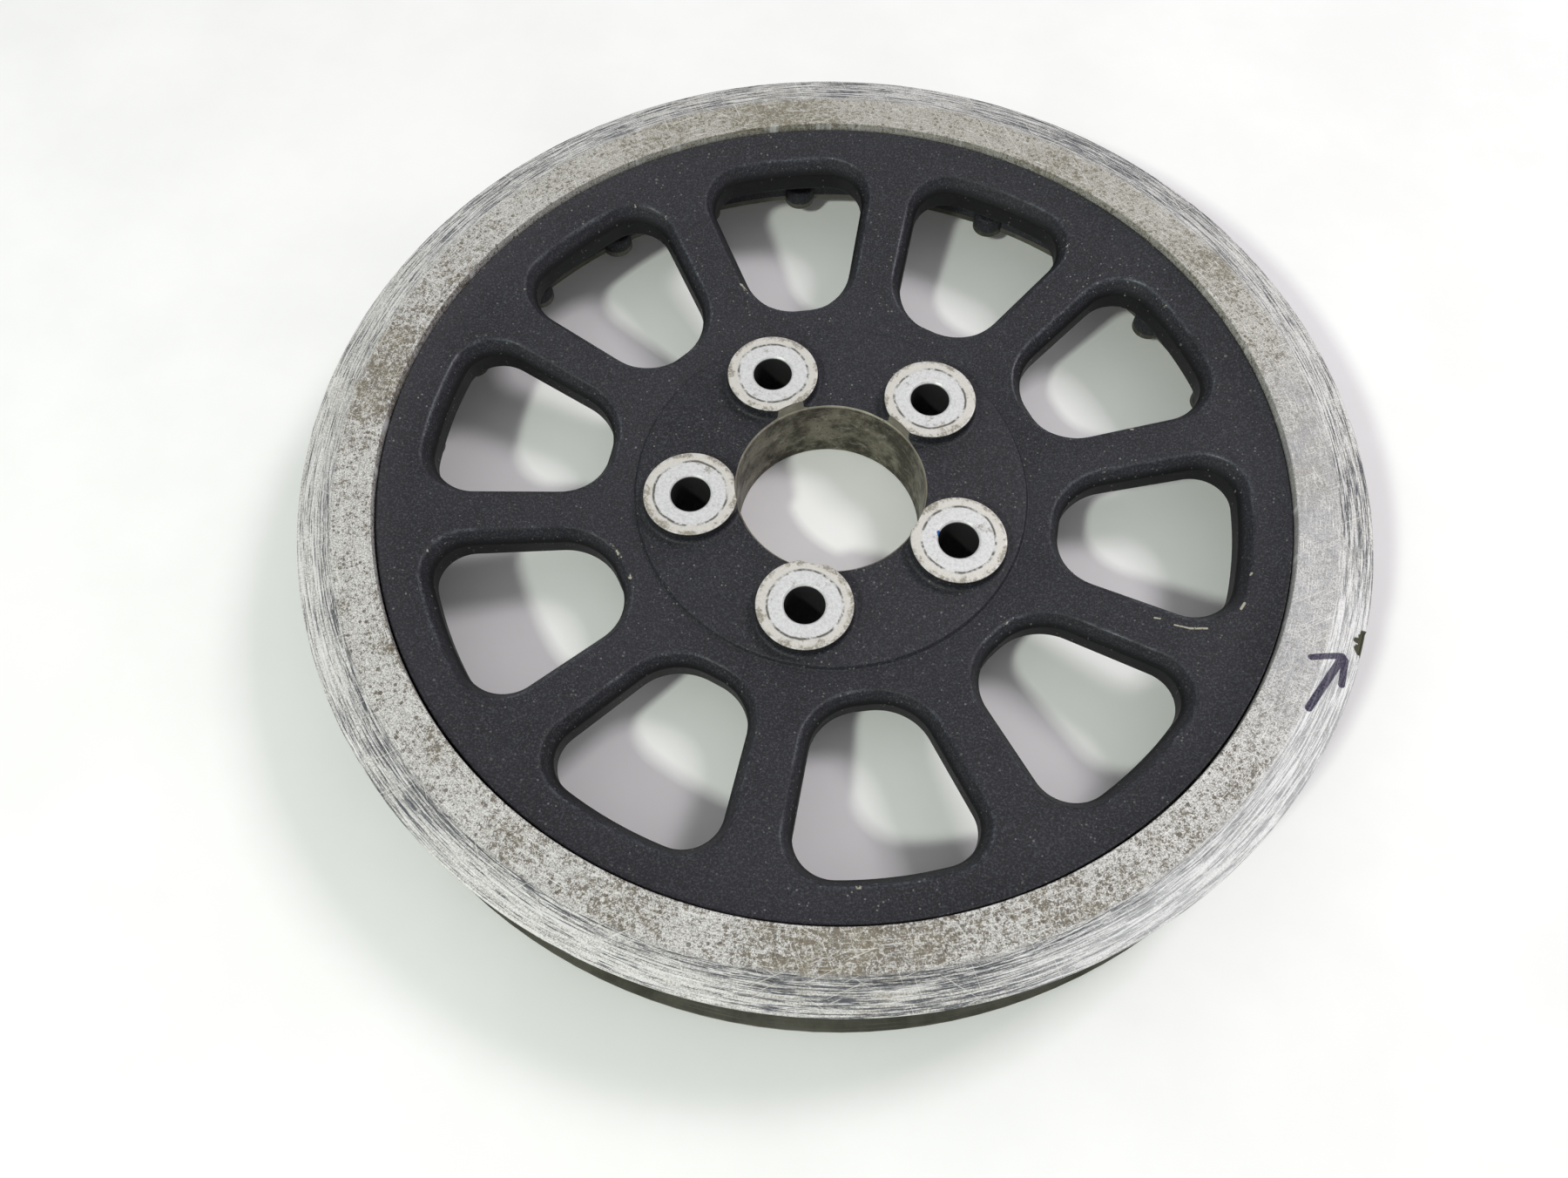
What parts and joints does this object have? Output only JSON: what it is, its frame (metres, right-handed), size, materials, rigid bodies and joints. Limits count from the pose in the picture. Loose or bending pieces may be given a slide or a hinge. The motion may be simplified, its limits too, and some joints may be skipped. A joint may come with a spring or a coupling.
{
  "type": "toothed belt drive pulley",
  "caption": "Spoked rear-wheel pulley that takes drive from a toothed belt between two flanges and bolts to a wheel hub.",
  "frame": {"origin": "centre of the hub's inboard mounting face, on the wheel axis", "axes": "+Z along the wheel axis towards the outboard face; +X through the middle of a window; -Y through a bolt hole"},
  "size_m": [0.301, 0.301, 0.0395],
  "materials": {
    "black_powder_coat": "satin black powder coat, fine texture",
    "bare_machined_aluminium": "machined, oxidised and scratched",
    "dark_grimy_aluminium": "dark with belt dust and road grime",
    "screw_steel": "dull steel"
  },
  "bodies": {
    "root": {"pulley_casting": "black_powder_coat", "outboard_flange_ring": "bare_machined_aluminium", "inboard_flange_ring": "dark_grimy_aluminium", "flange_screws": "screw_steel"}
  },
  "joints": []
}
